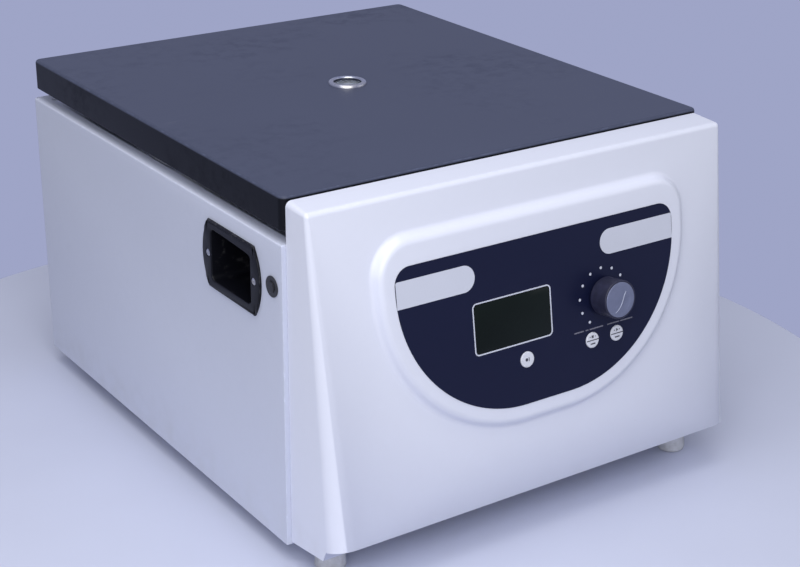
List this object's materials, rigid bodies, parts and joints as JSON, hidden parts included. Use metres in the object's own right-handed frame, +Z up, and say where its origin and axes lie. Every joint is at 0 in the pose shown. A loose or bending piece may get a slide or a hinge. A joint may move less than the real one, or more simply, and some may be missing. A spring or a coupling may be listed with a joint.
{
  "type": "butterfat centrifuge",
  "caption": "Bench centrifuge for butterfat tubes: white casing, hinged grey lid with viewport, tilted control panel, steel bowl and fixed-angle rotor.",
  "frame": {"origin": "on the bench under the middle of the whole machine", "axes": "+Z up, +Y towards the back, so the control panel faces -Y and +X is on the operator's right"},
  "size_m": [0.408, 0.5209, 0.3024],
  "materials": {
    "casing_white": "satin powder coat",
    "fascia_white": "satin moulded",
    "lid_grey": "satin moulded",
    "steel": "brushed",
    "zinc": "zinc plated",
    "aluminium": "turned",
    "black_plastic": "matt",
    "cup_plastic": "matt",
    "white_plastic": "gloss",
    "film_navy": "printed film",
    "window_dark": "tinted",
    "clear": "clear",
    "rubber_black": "matt",
    "rubber_grey": "matt",
    "knob_grey": "satin",
    "cap_grey": "satin",
    "board_green": "solder mask",
    "copper": "wound",
    "red_plastic": "gloss",
    "cast_grey": "painted casting"
  },
  "bodies": {
    "cabinet": {"base_pan": "casing_white", "casing_shell": "casing_white", "top_deck": "steel", "fascia": "fascia_white", "control_overlay": "film_navy", "display_window": "window_dark", "lcd_module": "zinc", "control_board": "board_green", "tact_switches": "black_plastic", "encoder_body": "zinc", "encoder_nut": "zinc", "handle_cup_left": "cup_plastic", "handle_cup_right": "cup_plastic", "handle_screws": "zinc", "rubber_feet": "rubber_grey", "foot_screws": "zinc", "chamber_bowl": "steel", "chamber_gasket": "rubber_grey", "shaft_boot": "rubber_black", "motor_housing": "cast_grey", "stator_core": "copper", "motor_bearings": "zinc", "motor_plate": "zinc", "motor_dampers": "rubber_black", "latch_bracket": "zinc", "latch_pin": "zinc", "lock_solenoid": "zinc", "release_sleeve": "black_plastic", "hinge_brackets": "zinc", "hinge_pins": "zinc", "power_inlet": "black_plastic", "mains_switch_body": "black_plastic", "fuse_holder": "black_plastic", "drive_board": "board_green", "heat_sink": "aluminium", "cabinet_screws": "zinc"},
    "lid": {"lid_shell": "lid_grey", "lid_liner": "white_plastic", "viewport_ring": "zinc", "viewport_lens": "clear", "lid_striker": "zinc", "lid_hinge_leaves": "zinc", "lid_screws": "zinc"},
    "rotor": {"drive_shaft": "zinc", "motor_magnet": "cast_grey", "rotor_head": "aluminium", "tube_sleeves": "steel", "sleeve_cushions": "rubber_black", "rotor_nut": "black_plastic"},
    "encoder_slider": {"encoder_slider": "white_plastic"},
    "knob": {"encoder_shaft": "zinc", "control_knob": "knob_grey", "knob_cap": "cap_grey"},
    "display_button": {"display_button": "white_plastic"},
    "stop_button": {"stop_button": "white_plastic"},
    "start_button": {"start_button": "white_plastic"},
    "mains_rocker": {"mains_rocker": "red_plastic"},
    "latch_hook": {"latch_hook": "zinc"},
    "solenoid_plunger": {"solenoid_plunger": "zinc"},
    "release_pull": {"release_pull": "black_plastic"}
  },
  "joints": [
    {"name": "lid_hinge", "type": "hinge", "parent": "cabinet", "child": "lid", "pos_m": [0, 0.2537, 0.2688], "axis": [-1, 0, 0], "range_deg": [0, 80]},
    {"name": "rotor_spin", "type": "hinge", "parent": "cabinet", "child": "rotor", "pos_m": [0, 0.0372, 0.1], "axis": [0, 0, 1], "continuous": true},
    {"name": "knob_press", "type": "slide", "parent": "cabinet", "child": "encoder_slider", "axis": [0, 0.988, -0.1547], "range_m": [0, 0.0005], "stiffness_N_per_m": 3000, "springref_m": -0.0002},
    {"name": "knob_turn", "type": "hinge", "parent": "encoder_slider", "child": "knob", "pos_m": [0.0585, -0.23645, 0.18415], "axis": [0, -0.988, 0.1547], "continuous": true},
    {"name": "display_button_press", "type": "slide", "parent": "cabinet", "child": "display_button", "axis": [0, 0.988, -0.1547], "range_m": [0, 0.0005], "stiffness_N_per_m": 3000, "springref_m": -0.0002},
    {"name": "stop_button_press", "type": "slide", "parent": "cabinet", "child": "stop_button", "axis": [0, 0.988, -0.1547], "range_m": [0, 0.0005], "stiffness_N_per_m": 3000, "springref_m": -0.0002},
    {"name": "start_button_press", "type": "slide", "parent": "cabinet", "child": "start_button", "axis": [0, 0.988, -0.1547], "range_m": [0, 0.0005], "stiffness_N_per_m": 3000, "springref_m": -0.0002},
    {"name": "mains_rocker_tilt", "type": "hinge", "parent": "cabinet", "child": "mains_rocker", "pos_m": [-0.086, 0.255, 0.062], "axis": [1, 0, 0], "range_deg": [0, 16]},
    {"name": "solenoid_travel", "type": "slide", "parent": "cabinet", "child": "solenoid_plunger", "axis": [1, 0, 0], "range_m": [0, 0.0055]},
    {"name": "latch_swing", "type": "hinge", "parent": "cabinet", "child": "latch_hook", "pos_m": [0.012, -0.1703, 0.24], "axis": [0, 1, 0], "range_deg": [-25.3, 0]},
    {"name": "release_travel", "type": "slide", "parent": "cabinet", "child": "release_pull", "axis": [-1, 0, 0], "range_m": [0, 0.0055], "stiffness_N_per_m": 300, "springref_m": -0.002}
  ],
  "couplings": [
    {"joint": "latch_swing", "follows": "solenoid_travel", "rad_per_m": -79.5}
  ]
}
